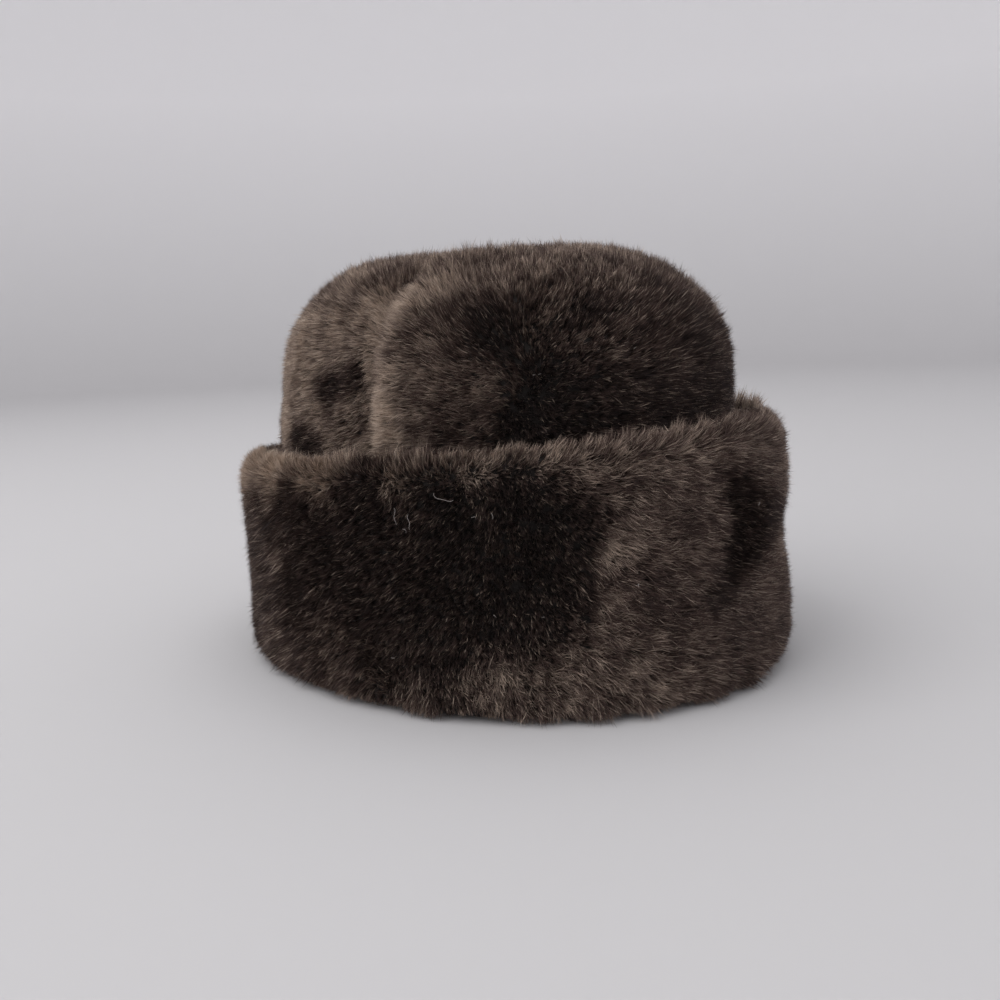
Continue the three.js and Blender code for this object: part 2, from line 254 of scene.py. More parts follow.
CROWN_NAP = NapChart(
    CROWN_SHAPE,
    (
        # painted light on a light band in front of the seam
        Stroke(69, 94, 258, 50, 0.84, 7, 0.3),
        Stroke(69, 106, 258, 50, 0.84, 7, 0.3),
        Stroke(69, 118, 258, 50, 0.84, 7, 0.3),
        Stroke(69, 130, 258, 50, 0.84, 7, 0.3),
        Stroke(70, 141, 270, 50, 0.84, 7, 0.4),
        # back panel at the wearer's right, soft and painted light, with painted shade in a pit and its crease
        Stroke(82, 98, 190, 38, 0.68, 8, 0.2),
        Stroke(84, 130, 200, 40, 0.74, 10, 0.2),
        Stroke(86, 145, 210, 42, 0.66, 10, 0.5, 0, 0.5),
        Stroke(98, 122, 190, 42, 0.72, 12, 0.0),
        Stroke(97, 100, 185, 42, 0.72, 9, 0.0),
        Stroke(112, 110, 190, 45, 0.76, 15, 0.1),
        Stroke(112, 138, 200, 42, 0.68, 13, 0.7, 0, 0.6),
        Stroke(92, 112, 180, 12, 0.0, 5, 0.1, 0, -1.0),
        Stroke(87, 113, 180, 15, 0.0, 5, 0.1, 0, -1.0),
        Stroke(83, 115, 180, 30, 0.0, 4, 0.1),
        Stroke(79, 117, 180, 35, 0.0, 4, 0.1),
        Stroke(99, 92, 160, 30, 0.0, 5, 0.2),
        Stroke(94, 90, 160, 30, 0.05, 4, 0.2),
        Stroke(77, 107, 180, 40, 0.12, 3.5, 0.2),
        Stroke(77, 99, 180, 40, 0.2, 3.5, 0.2),
        # front panel beside the seam, combed away from it
        Stroke(60, 100, 278, 46, 0.42, 8, 0.2),
        Stroke(60, 113, 282, 46, 0.56, 8, 0.2),
        Stroke(60, 128, 288, 46, 0.56, 8, 0.2),
        Stroke(60, 146, 310, 46, 0.66, 10, 0.4),
        Stroke(48, 150, 325, 42, 0.6, 9, 0.5),
        Stroke(52, 134, 300, 34, 0.38, 8, 0.2),
        Stroke(45, 131, 300, 15, 0.0, 6, 0.2),
        Stroke(42, 128, 300, 15, 0.0, 5, 0.2),
        Stroke(50, 119, 290, 42, 0.46, 8, 0.2),
        Stroke(45, 110, 295, 48, 0.7, 6, 0.2),
        Stroke(40, 111, 295, 46, 0.62, 5, 0.2),
        Stroke(50, 101, 275, 46, 0.45, 8, 0.2),
        Stroke(38, 117, 290, 24, 0.34, 8, 0.2),
        # painted shade in the dark hollow above the cuff
        Stroke(36, 103, 100, 30, 0.08, 8, 0.2),
        Stroke(24, 104, 95, 35, 0.06, 9, 0.2),
        Stroke(11, 103, 92, 40, 0.03, 9, 0.2),
        Stroke(-2, 101, 90, 45, 0.03, 8, 0.2),
        Stroke(-16, 102, 90, 45, 0.04, 9, 0.2),
        Stroke(-30, 104, 90, 50, 0.1, 9, 0.2),
        Stroke(0, 112, 90, 60, 0.3, 4.5, 0.2),
        # middle and right of the front panel, standing up towards the front
        Stroke(30, 138, 100, 30, 0.45, 8, 0.5),
        Stroke(24, 136, 60, 20, 0.02, 4.5, 0.5),
        Stroke(30, 122, 90, 25, 0.34, 9, 0.5),
        Stroke(16, 124, 60, 28, 0.32, 9, 0.5),
        Stroke(22, 113, 80, 25, 0.28, 6, 0.5),
        Stroke(4, 130, 45, 32, 0.24, 10, 0.6),
        Stroke(-4, 145, 40, 25, 0.08, 5, 0.8),
        Stroke(-12, 128, 50, 35, 0.08, 9, 0.7, 0, 0.6),
        Stroke(-10, 142, 30, 32, 0.22, 8, 1.0, 0, 1.5),
        Stroke(-24, 128, 40, 35, 0.12, 10, 0.8, 0, 1.5),
        Stroke(-24, 142, 30, 32, 0.3, 9, 1.0, 0, 2.2),
        Stroke(-22, 116, 75, 42, 0.1, 8, 0.4, 0, 0.6),
        # tousled edge of the top
        Stroke(75, 154, 60, 45, 0.58, 9, 0.9),
        Stroke(58, 157, 40, 45, 0.54, 10, 1.0, 0, 0.4),
        Stroke(40, 156, 10, 42, 0.5, 10, 1.1, 0, -2.0),
        Stroke(22, 154, 0, 38, 0.46, 10, 1.1, 0, -1.8),
        Stroke(5, 153, 10, 40, 0.44, 10, 1.1, 0, -2.0),
        Stroke(-12, 152, 20, 44, 0.46, 10, 1.1, 0, -1.5),
        Stroke(-32, 148, 40, 52, 0.5, 12, 1.0, 0, 1.0),
        # the top
        Stroke(95, 158, 330, 42, 0.58, 12, 1.2, 0, -0.8),
        Stroke(104, 149, 320, 36, 0.62, 8, 1.4, 0, -0.4),
        Stroke(84, 154, 20, 38, 0.42, 7, 1.4, 0, -0.4),
        Stroke(60, 160, 0, 50, 0.64, 14, 0.9, 12, -0.4),
        Stroke(25, 160, 0, 50, 0.58, 14, 0.9, 12, -1.4),
        Stroke(0, 160, 0, 50, 0.58, 16, 0.9, 20, -1.2),
        Stroke(130, 158, 340, 46, 0.6, 16, 0.9, 0, 0.6),
        Stroke(180, 158, 180, 55, 0.55, 16, 0.5),
        Stroke(180, 160, 180, 55, 0.6, 18, 0.6, 25),
        Stroke(-60, 158, 30, 52, 0.55, 16, 0.7),
        Stroke(-100, 158, 90, 55, 0.58, 16, 0.6),
        Stroke(-140, 158, 120, 55, 0.55, 16, 0.5),
        # the wearer's left side
        Stroke(-45, 118, 70, 58, 0.5, 14, 0.5),
        Stroke(-51, 104, 110, 15, 0.1, 6, 0.4, 0, 4.0),
        Stroke(-48, 98, 85, 58, 0.3, 12, 0.3),
        Stroke(-62, 132, 80, 60, 0.6, 12, 0.4),
        Stroke(-68, 108, 95, 60, 0.7, 10, 0.3),
        Stroke(-84, 122, 160, 58, 0.55, 12, 0.3),
        Stroke(-92, 100, 170, 50, 0.35, 12, 0.3),
        Stroke(-104, 136, 175, 58, 0.62, 14, 0.3),
        Stroke(-120, 112, 180, 58, 0.6, 14, 0.3),
        Stroke(-136, 96, 185, 50, 0.35, 12, 0.3),
        Stroke(-146, 130, 185, 58, 0.66, 15, 0.3),
        # the back
        Stroke(128, 98, 190, 52, 0.45, 12, 0.2),
        Stroke(134, 124, 195, 58, 0.68, 14, 0.3),
        Stroke(152, 108, 190, 45, 0.35, 13, 0.3),
        Stroke(156, 140, 190, 58, 0.6, 14, 0.4),
        Stroke(172, 96, 185, 50, 0.4, 11, 0.3),
        Stroke(176, 122, 180, 58, 0.62, 14, 0.3),
        Stroke(196, 106, 175, 40, 0.3, 12, 0.3),
        Stroke(200, 138, 180, 58, 0.64, 14, 0.4),
    ),
    Stroke(0, 0, 170, 55, 0.52, 0),
)

CUFF_NAP = NapChart(
    CUFF_SHAPE,
    (
        # the roll along the top, painted lightest towards the wearer's right, where it faces the light
        Stroke(122, 82, 20, 50, 1.0, 10, 0.3, 0, 1.0),
        Stroke(108, 80, 30, 50, 1.0, 9, 0.3, 0, 1.0),
        Stroke(118, 86, 20, 50, 1.0, 10, 0.1, 5),
        Stroke(104, 86, 30, 50, 1.0, 10, 0.1, 5),
        Stroke(95, 83, 40, 50, 1.0, 8, 0.3),
        Stroke(92, 87, 45, 50, 1.0, 9, 0.4, 5),
        Stroke(84, 88, 45, 50, 0.85, 8, 0.4),
        Stroke(76, 91, 60, 50, 0.72, 10, 0.4, 0, 0.8),
        Stroke(62, 92, 60, 46, 0.66, 10, 0.4, 0, 0.8),
        Stroke(48, 93, 80, 50, 0.68, 10),
        Stroke(34, 93, 75, 50, 0.66, 10),
        Stroke(20, 94, 60, 46, 0.58, 10, 0.7),
        Stroke(6, 94, 60, 46, 0.55, 10, 0.7),
        Stroke(-8, 93, 50, 46, 0.42, 9, 0.9, 0, 0.8),
        Stroke(-14, 93, 20, 40, 0.46, 6, 0.9, 3, 0.8),
        Stroke(-30, 95, 60, 60, 0.46, 8, 0.6, 0, -2.0),
        Stroke(-40, 95, 60, 60, 0.46, 7, 0.6, 0, -1.6),
        Stroke(-53, 95, 0, 14, 0.9, 6, 0.9, 3, 6.0),
        Stroke(-62, 94, 0, 14, 0.9, 6, 0.9, 3, 6.5),
        Stroke(-22, 88, 60, 50, 0.46, 9, 0.6),
        Stroke(-34, 88, 60, 50, 0.48, 9, 0.6),
        # left edge
        Stroke(103, 66, 170, 50, 0.18, 12, 0.6, 0, 1.8),
        Stroke(101, 44, 175, 50, 0.18, 12, 0.6, 0, 1.6),
        Stroke(101, 22, 175, 50, 0.2, 12, 0.6, 0, 1.0),
        Stroke(94, 49, 170, 55, 0.6, 3, 0.4, 0, 0.6),
        # painted shade in the dark field, where the pile points out
        Stroke(88, 70, 110, 46, 0.18, 8, 0.3),
        Stroke(84, 56, 100, 44, 0.17, 11, 0.2),
        Stroke(84, 36, 110, 44, 0.2, 11, 0.2),
        Stroke(80, 18, 130, 46, 0.38, 10, 0.3),
        Stroke(70, 74, 95, 32, 0.14, 8, 0.3),
        Stroke(68, 58, 95, 30, 0.13, 12, 0.3),
        Stroke(67, 38, 100, 30, 0.15, 12, 0.3),
        Stroke(66, 20, 120, 38, 0.37, 9, 0.4),
        Stroke(54, 74, 95, 20, 0.15, 8, 0.3),
        Stroke(52, 60, 95, 16, 0.16, 11, 0.3),
        Stroke(52, 42, 100, 18, 0.15, 11, 0.3),
        Stroke(52, 26, 110, 30, 0.24, 8, 0.3),
        Stroke(38, 76, 90, 16, 0.16, 8, 0.3),
        Stroke(37, 62, 90, 12, 0.13, 10, 0.3),
        Stroke(37, 46, 95, 14, 0.13, 10, 0.3),
        Stroke(38, 32, 100, 26, 0.2, 8, 0.3),
        Stroke(29, 66, 90, 18, 0.14, 6, 0.3),
        # painted light on wisps in it
        Stroke(75, 70, 60, 60, 0.6, 2.6, 0.3),
        Stroke(72, 69, 60, 60, 0.55, 2.6, 0.3),
        Stroke(68, 20, 30, 62, 0.5, 4, 0.3),
        Stroke(66, 13, 40, 62, 0.45, 4, 0.3),
        Stroke(57, 33, 20, 55, 0.4, 2.6, 0.3),
        # painted light on the field at the right of the dark one, combed flat round the hat
        Stroke(21, 80, 80, 52, 0.46, 9, 0.5),
        Stroke(8, 78, 85, 54, 0.42, 10, 0.5),
        Stroke(19, 66, 94, 58, 0.56, 7, 0.4),
        Stroke(6, 63, 95, 58, 0.42, 9, 0.4),
        Stroke(24, 58, 94, 58, 0.84, 4, 0.4),
        Stroke(18, 50, 95, 54, 0.34, 8, 0.4),
        Stroke(5, 48, 98, 54, 0.34, 9, 0.4),
        Stroke(14, 38, 98, 52, 0.22, 8, 0.4),
        # right side: painted shade in a hollow and along a diagonal fold, and the fold's lower swell
        Stroke(-9, 80, 130, 50, 0.34, 9, 0.6),
        Stroke(-22, 76, 145, 50, 0.36, 10, 0.6, 0, 1.0),
        Stroke(-6, 73, 280, 30, 0.0, 6, 0.3),
        Stroke(-11, 65, 275, 36, 0.0, 9, 0.2, 0, -0.6),
        Stroke(-12, 56, 270, 36, 0.0, 9, 0.2, 0, -0.6),
        Stroke(-4, 48, 265, 30, 0.0, 6, 0.3, 0, -0.4),
        Stroke(0, 39, 120, 30, 0.0, 5, 0.3),
        Stroke(-20, 60, 110, 40, 0.06, 6, 0.3),
        Stroke(-25, 50, 130, 20, 0.0, 3.5, 0.1, 0, -1.2),
        Stroke(-19, 48.5, 130, 20, 0.0, 3.5, 0.1, 0, -1.2),
        Stroke(-13, 47.5, 130, 20, 0.0, 3.5, 0.1, 0, -1.2),
        Stroke(-7, 46.5, 130, 20, 0.0, 3.5, 0.1, 0, -1.0),
        Stroke(-2.5, 43, 130, 20, 0.0, 3.5, 0.1, 0, -0.8),
        Stroke(-16, 39, 90, 52, 0.42, 6, 0.4),
        Stroke(-26, 42, 90, 52, 0.46, 6, 0.4),
        Stroke(-28, 26, 100, 56, 0.33, 11, 0.3),
        Stroke(-14, 22, 105, 56, 0.28, 9, 0.4),
        Stroke(-4, 26, 105, 56, 0.26, 8, 0.4),
        # bottom band
        Stroke(58, 9, 110, 56, 0.4, 7, 0.6),
        Stroke(46, 14, 110, 56, 0.52, 8, 0.5),
        Stroke(34, 16, 110, 56, 0.54, 9, 0.5),
        Stroke(21, 22, 105, 56, 0.48, 9, 0.5),
        Stroke(20, 10, 115, 56, 0.5, 9, 0.6),
        Stroke(6, 12, 115, 56, 0.42, 9, 0.6),
        Stroke(-10, 9, 115, 54, 0.34, 9, 0.7),
        Stroke(74, 6, 140, 52, 0.42, 8, 0.6),
        Stroke(90, 7, 160, 52, 0.42, 9, 0.6),
        Stroke(58, 3, 150, 45, 0.45, 4, 1.4, 0, 2.5),
        Stroke(38, 3, 140, 45, 0.5, 4, 1.4, 0, 2.0),
        Stroke(28, 3, 140, 45, 0.5, 4, 1.4, 0, 2.5),
        Stroke(18, 3, 140, 45, 0.5, 4, 1.4, 0, 2.0),
        Stroke(4, 3, 140, 45, 0.45, 4, 1.4, 0, 2.5),
        Stroke(-8, 3, 140, 45, 0.4, 4, 1.4, 0, 3.0),
        # the wearer's left side
        Stroke(-40, 82, 100, 60, 0.56, 14, 0.3),
        Stroke(-44, 58, 95, 50, 0.28, 13, 0.3),
        Stroke(-46, 30, 100, 60, 0.5, 13, 0.3),
        Stroke(-62, 84, 95, 60, 0.62, 14, 0.3),
        Stroke(-64, 60, 95, 62, 0.56, 13, 0.3),
        Stroke(-66, 34, 98, 40, 0.2, 13, 0.3),
        Stroke(-66, 10, 105, 60, 0.5, 12, 0.4),
        Stroke(-86, 80, 92, 62, 0.66, 14, 0.3),
        Stroke(-86, 54, 95, 45, 0.2, 15, 0.3),
        Stroke(-86, 26, 98, 62, 0.5, 14, 0.3),
        Stroke(-108, 82, 92, 62, 0.6, 14, 0.3),
        Stroke(-108, 56, 95, 62, 0.56, 15, 0.3),
        Stroke(-108, 28, 100, 45, 0.24, 15, 0.3),
        # the back
        Stroke(124, 60, 150, 58, 0.5, 14, 0.2),
        Stroke(124, 30, 150, 50, 0.26, 14, 0.3),
        Stroke(142, 84, 60, 58, 0.7, 14, 0.2),
        Stroke(146, 54, 120, 50, 0.25, 15, 0.3),
        Stroke(148, 26, 120, 60, 0.5, 14, 0.3),
        Stroke(166, 82, 80, 58, 0.62, 14, 0.3),
        Stroke(168, 56, 100, 62, 0.58, 15, 0.3),
        Stroke(170, 28, 110, 40, 0.22, 14, 0.3),
        Stroke(190, 80, 90, 60, 0.6, 14, 0.3),
        Stroke(192, 52, 95, 45, 0.22, 15, 0.3),
        Stroke(194, 26, 100, 60, 0.52, 14, 0.3),
        Stroke(214, 80, 92, 60, 0.62, 14, 0.3),
        Stroke(216, 52, 95, 62, 0.6, 15, 0.3),
        Stroke(218, 24, 100, 55, 0.36, 14, 0.3),
        Stroke(232, 56, 95, 40, 0.22, 13, 0.3),
        Stroke(234, 84, 92, 60, 0.62, 12, 0.3),
    ),
    Stroke(0, 0, 98, 58, 0.45, 0),
)


def socket(tree: bpy.types.NodeTree, name: str, kind: str, value: object = None, out: bool = False) -> None:
    """Adds an input or output to a node group.

    Args:
        tree: The group.
        name: The socket's name.
        kind: The socket's type without its prefix, such as Float.
        value: Its value where nothing is linked.
        out: True for an output.
    """
    way = "OUTPUT" if out else "INPUT"
    made = tree.interface.new_socket(name, in_out=way, socket_type=f"NodeSocket{kind}")
    if value is not None:
        made.default_value = value


class FibreColour:
    """Shared node group: the colour along a fibre, from a dark root to its tip."""

    name = "fibre_colour"
    root_share = 0.3
    middle_shade = 0.5
    rise_starts = 0.1
    rise_ends = 0.7

    def __init__(self) -> None:
        """Builds the group once."""
        tree = bpy.data.node_groups.new(self.name, "ShaderNodeTree")
        for name, kind, value in (
            ("Shade", "Float", 0.5),
            ("Along", "Float", 0.5),
            ("Root", "Color", (0.01, 0.008, 0.007, 1)),
            ("Dark Tip", "Color", (0.02, 0.015, 0.013, 1)),
            ("Middle Tip", "Color", (0.1, 0.08, 0.07, 1)),
            ("Light Tip", "Color", (0.3, 0.25, 0.2, 1)),
        ):
            socket(tree, name, kind, value)
        socket(tree, "Colour", "Color", out=True)
        put = tree.nodes.new
        link = tree.links.new
        inside = put("NodeGroupInput")
        # the shade, which carries painted light and shade as well as uneven tone, picks the tip's colour
        darker = self.ease(tree, inside.outputs["Shade"], 0.0, self.middle_shade)
        lighter = self.ease(tree, inside.outputs["Shade"], self.middle_shade, 1.0)
        rise = self.ease(tree, inside.outputs["Along"], self.rise_starts, self.rise_ends)
        rise.interpolation_type = "SMOOTHSTEP"
        colour = inside.outputs["Dark Tip"]
        for ease, tip in ((darker, "Middle Tip"), (lighter, "Light Tip")):
            colour = self.mix(tree, ease.outputs["Result"], colour, inside.outputs[tip])
        share = put("ShaderNodeMath")
        share.operation = "MULTIPLY_ADD"
        share.inputs[1].default_value = 1 - self.root_share
        share.inputs[2].default_value = self.root_share
        link(rise.outputs["Result"], share.inputs[0])
        colour = self.mix(tree, share.outputs["Value"], inside.outputs["Root"], colour)
        link(colour, put("NodeGroupOutput").inputs["Colour"])
        self.tree = tree

    @staticmethod
    def ease(
        tree: bpy.types.NodeTree, value: bpy.types.NodeSocket, low: float, high: float
    ) -> bpy.types.ShaderNodeMapRange:
        """Adds a node that takes a value from 0 at low to 1 at high.

        Args:
            tree: The node tree.
            value: The value.
            low: Where it gives 0.
            high: Where it gives 1.

        Returns:
            The node.
        """
        node = tree.nodes.new("ShaderNodeMapRange")
        node.inputs["From Min"].default_value = low
        node.inputs["From Max"].default_value = high
        tree.links.new(value, node.inputs["Value"])
        return node

    @staticmethod
    def mix(
        tree: bpy.types.NodeTree,
        share: bpy.types.NodeSocket,
        first: bpy.types.NodeSocket,
        second: bpy.types.NodeSocket,
    ) -> bpy.types.NodeSocket:
        """Mixes two colours.

        Args:
            tree: The node tree.
            share: How much of the second colour shows.
            first: The first colour.
            second: The second colour.

        Returns:
            The mixed colour.
        """
        node = tree.nodes.new("ShaderNodeMix")
        node.data_type = "RGBA"
        tree.links.new(share, node.inputs["Factor"])
        tree.links.new(first, node.inputs["A"])
        tree.links.new(second, node.inputs["B"])
        return node.outputs["Result"]


class WoolGrain:
    """Shared node group: fine uneven grain on Object coordinates, for underwool and suede."""

    name = "wool_grain"

    def __init__(self) -> None:
        """Builds the group once."""
        tree = bpy.data.node_groups.new(self.name, "ShaderNodeTree")
        socket(tree, "Vector", "Vector")
        socket(tree, "Fine Scale", "Float", 900.0)
        socket(tree, "Broad Scale", "Float", 60.0)
        socket(tree, "Grain", "Float", out=True)
        socket(tree, "Patches", "Float", out=True)
        inside = tree.nodes.new("NodeGroupInput")
        outside = tree.nodes.new("NodeGroupOutput")
        for size, detail, result in (("Fine Scale", 3.0, "Grain"), ("Broad Scale", 4.0, "Patches")):
            noise = tree.nodes.new("ShaderNodeTexNoise")
            noise.inputs["Detail"].default_value = detail
            tree.links.new(inside.outputs["Vector"], noise.inputs["Vector"])
            tree.links.new(inside.outputs[size], noise.inputs["Scale"])
            tree.links.new(noise.outputs["Fac"], outside.inputs[result])
        self.tree = tree


Colour = tuple[float, float, float]


@dataclass(frozen=True)
class PileFinish:
    """Sheared sheepskin pile: dark brown fibres with lighter tips."""

    name: str
    root: Colour = (0.008, 0.006, 0.005)
    # The tips run from dark to light across the palette's shade, which carries painted light and shade as
    # well as the pile's uneven tone.
    dark_tip: Colour = (0.030, 0.0223, 0.0214)
    middle_tip: Colour = (0.108, 0.070, 0.060)
    light_tip: Colour = (0.63, 0.50, 0.40)
    roughness: float = 0.55
    gloss: float = 0.15
    sheen: float = 0.03
    sheen_tint: Colour = (0.8, 0.66, 0.56)

    def material(self, fibre: FibreColour) -> bpy.types.Material:
        """Makes the material.

        Args:
            fibre: The shared group that colours a fibre.

        Returns:
            The material, which reads the palette map: shade across, with its painted light and shade, and
            root to tip up.
        """
        made = bpy.data.materials.new(self.name)
        made.use_nodes = True
        nodes, links = made.node_tree.nodes, made.node_tree.links
        shader = nodes["Principled BSDF"]
        shader.inputs["Roughness"].default_value = self.roughness
        shader.inputs["Specular IOR Level"].default_value = self.gloss
        shader.inputs["Sheen Weight"].default_value = self.sheen
        shader.inputs["Sheen Tint"].default_value = (*self.sheen_tint, 1)
        palette = nodes.new("ShaderNodeUVMap")
        palette.uv_map = PALETTE_MAP
        apart = nodes.new("ShaderNodeSeparateXYZ")
        colour = nodes.new("ShaderNodeGroup")
        colour.node_tree = fibre.tree
        for name, value in (
            ("Root", self.root),
            ("Dark Tip", self.dark_tip),
            ("Middle Tip", self.middle_tip),
            ("Light Tip", self.light_tip),
        ):
            colour.inputs[name].default_value = (*value, 1)
        links.new(palette.outputs["UV"], apart.inputs["Vector"])
        links.new(apart.outputs["X"], colour.inputs["Shade"])
        links.new(apart.outputs["Y"], colour.inputs["Along"])
        links.new(colour.outputs["Colour"], shader.inputs["Base Color"])
        return made


@dataclass(frozen=True)
class PeltFinish:
    """The grained side of a pelt: the dense underwool outside or the suede inside."""

    name: str
    dark: Colour
    light: Colour
    fine_scale: float
    bump_depth: float
    roughness: float = 0.9
    sheen: float = 0.1

    def material(self, grain: WoolGrain) -> bpy.types.Material:
        """Makes the material.

        Args:
            grain: The shared group that gives the grain.

        Returns:
            The material.
        """
        made = bpy.data.materials.new(self.name)
        made.use_nodes = True
        nodes, links = made.node_tree.nodes, made.node_tree.links
        shader = nodes["Principled BSDF"]
        shader.inputs["Roughness"].default_value = self.roughness
        shader.inputs["Sheen Weight"].default_value = self.sheen
        place = nodes.new("ShaderNodeTexCoord")
        wool = nodes.new("ShaderNodeGroup")
        wool.node_tree = grain.tree
        wool.inputs["Fine Scale"].default_value = self.fine_scale
        both = nodes.new("ShaderNodeMath")
        both.operation = "MULTIPLY"
        colour = nodes.new("ShaderNodeMix")
        colour.data_type = "RGBA"
        colour.inputs["A"].default_value = (*self.dark, 1)
        colour.inputs["B"].default_value = (*self.light, 1)
        bump = nodes.new("ShaderNodeBump")
        bump.inputs["Distance"].default_value = self.bump_depth
        links.new(place.outputs["Object"], wool.inputs["Vector"])
        links.new(wool.outputs["Grain"], both.inputs[0])
        links.new(wool.outputs["Patches"], both.inputs[1])
        links.new(both.outputs["Value"], colour.inputs["Factor"])
        links.new(colour.outputs["Result"], shader.inputs["Base Color"])
        links.new(wool.outputs["Grain"], bump.inputs["Height"])
        links.new(bump.outputs["Normal"], shader.inputs["Normal"])
        return made


def collect(made: bpy.types.Object) -> None:
    """Links a finished piece to the scene and onto its body."""
    bpy.context.scene.collection.objects.link(made)
    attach(made, BODY)
    log.info("%s: %d faces", made.name, len(made.data.polygons))


@dataclass
class PeltSurface:
    """What the pile needs to know of a pelt: its woolly triangles with their normals and pile room."""

    corners: np.ndarray
    normals: np.ndarray
    room: np.ndarray
    areas: np.ndarray

    @classmethod
    def of(cls, mesh: bpy.types.Mesh, lowest: float) -> "PeltSurface":
        """Reads a pelt's mesh.

        Args:
            mesh: The finished mesh of the pelt.
            lowest: Height under which the pile is hidden and left out.

        Returns:
            The woolly surface.
        """
        mesh.calc_loop_triangles()
        count = len(mesh.loop_triangles)
        at = np.empty(count * 3, np.int32)
        mesh.loop_triangles.foreach_get("vertices", at)
        at = at.reshape(-1, 3)
        side = np.empty(count, np.int32)
        mesh.loop_triangles.foreach_get("material_index", side)
        places = np.empty(len(mesh.vertices) * 3)
        mesh.vertices.foreach_get("co", places)
        places = places.reshape(-1, 3)
        room = np.empty(len(mesh.vertices))
        mesh.attributes[ROOM].data.foreach_get("value", room)
        corners = places[at]
        woolly = at[side == Side.WOOL]
        first, second, third = (places[woolly[:, corner]] for corner in range(3))
        faced = np.cross(second - first, third - first)
        facing = np.zeros_like(places)
        for corner in range(3):
            np.add.at(facing, woolly[:, corner], faced)
        facing = unit(facing)
        wanted = (side == Side.WOOL) & (corners[:, :, 2].mean(1) > lowest) & (room[at].mean(1) > LEAST_ROOM)
        corners = corners[wanted]
        crossed = np.cross(corners[:, 1] - corners[:, 0], corners[:, 2] - corners[:, 0])
        areas = np.linalg.norm(crossed, axis=1) / 2
        return cls(corners, facing[at][wanted], room[at][wanted], areas)

    def scatter(self, count: int, rng: np.random.Generator) -> tuple[np.ndarray, np.ndarray, np.ndarray]:
        """Picks evenly spread places on the surface.

        Args:
            count: How many places.
            rng: The random source.

        Returns:
            Places, normals and pile room.
        """
        edges = np.cumsum(self.areas)
        picks = (np.arange(count) + rng.random(count)) / count * edges[-1]
        chosen = np.minimum(np.searchsorted(edges, picks), len(edges) - 1)
        first, second = rng.random((2, count))
        over = first + second > 1
        first[over], second[over] = 1 - first[over], 1 - second[over]
        shares = np.stack([1 - first - second, first, second], 1)
        places = (self.corners[chosen] * shares[:, :, None]).sum(1)
        normals = unit((self.normals[chosen] * shares[:, :, None]).sum(1))
        room = (self.room[chosen] * shares).sum(1)
        return places, normals, room


@dataclass
class Pelt:
    """Skin and underwool of one CAD solid. Its outside lies under the solid's by the depth of the pile."""

    name: str
    node: str
    slot: str
    depth: float
    fade_low: float
    fade_high: float
    underwool: bpy.types.Material
    suede: bpy.types.Material
    seam_slack: float = 0.3 * MM
    merge_gap: float = 0.01 * MM
    flat_angle: float = 40
    square_angle: float = 50
    bare_below: float = -0.98
    full_above: float = -0.3

    def is_wool(self, face: bmesh.types.BMFace) -> bool:
        """Says whether a face of the solid carries pile."""
        raise NotImplementedError

    def build(self) -> bpy.types.Object:
        """Makes the pelt.

        Returns:
            The piece, which replaces its CAD solid.
        """
        shape = bmesh.new()
        shape.from_mesh(frame["nodes"][self.node].data)
        bmesh.ops.remove_doubles(shape, verts=shape.verts, dist=self.merge_gap)
        bmesh.ops.join_triangles(
            shape,
            faces=shape.faces,
            angle_face_threshold=math.radians(self.flat_angle),
            angle_shape_threshold=math.radians(self.square_angle),
        )
        shape.normal_update()
        self.draw_in(shape)
        rough = bpy.data.meshes.new(self.name + "_rough")
        shape.to_mesh(rough)
        shape.free()
        cage = bpy.data.objects.new(self.name + "_cage", rough)
        bpy.context.scene.collection.objects.link(cage)
        smooth = cage.modifiers.new("smooth", "SUBSURF")
        smooth.levels = smooth.render_levels = 1
        graph = bpy.context.evaluated_depsgraph_get()
        finished = bpy.data.meshes.new_from_object(
            cage.evaluated_get(graph), preserve_all_data_layers=True, depsgraph=graph
        )
        bpy.data.objects.remove(cage)
        finished.name = self.name
        for material in (self.underwool, self.suede):
            finished.materials.append(material)
        finished.shade_smooth()
        made = bpy.data.objects.new(self.name, finished)
        collect(made)
        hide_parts(self.node)
        return made

    def draw_in(self, shape: bmesh.types.BMesh) -> None:
        """Moves the woolly outside in by the depth of the pile, and writes that depth on its points."""
        room = shape.verts.layers.float.new(ROOM)
        moves = {}
        for face in shape.faces:
            face.material_index = Side.WOOL if self.is_wool(face) else Side.SKIN
        for vert in shape.verts:
            wool = [face.normal for face in vert.link_faces if face.material_index == Side.WOOL]
            if not wool:
                continue
            facing = sum(wool, Vector()).normalized()
            depth = self.depth * self.share(vert, facing)
            if self.on_seam(vert):
                facing.y = 0
            moves[vert] = facing * depth
            vert[room] = depth
        for vert, move in moves.items():
            vert.co -= move
        crease = shape.edges.layers.float.new("crease_edge")
        for edge in shape.edges:
            edge[crease] = float(all(self.on_seam(vert) for vert in edge.verts))

    def on_seam(self, vert: bmesh.types.BMVert) -> bool:
        """Says whether a point lies in the plane of the seam."""
        return abs(vert.co.y - SEAM_Y) < self.seam_slack

    def share(self, vert: bmesh.types.BMVert, facing: Vector) -> float:
        """Gives the share of the full depth at a point: none underneath and where the pile is hidden."""
        level = float(smoothstep(self.fade_low, self.fade_high, vert.co.z))
        return level * float(smoothstep(self.bare_below, self.full_above, facing.z))


@dataclass
class CrownPelt(Pelt):
    """One panel of the crown."""

    middle_height: float = 60 * MM
    seam_edge: float = 1 * MM
    faces_seam: float = 0.8

    def is_wool(self, face: bmesh.types.BMFace) -> bool:
        """The outside carries pile. The edge along the seam and the inside are skin."""
        middle = face.calc_center_median()
        along_seam = abs(middle.y - SEAM_Y) < self.seam_edge and abs(face.normal.y) > self.faces_seam
        return not along_seam and (middle - Vector((0, 0, self.middle_height))).dot(face.normal) > 0


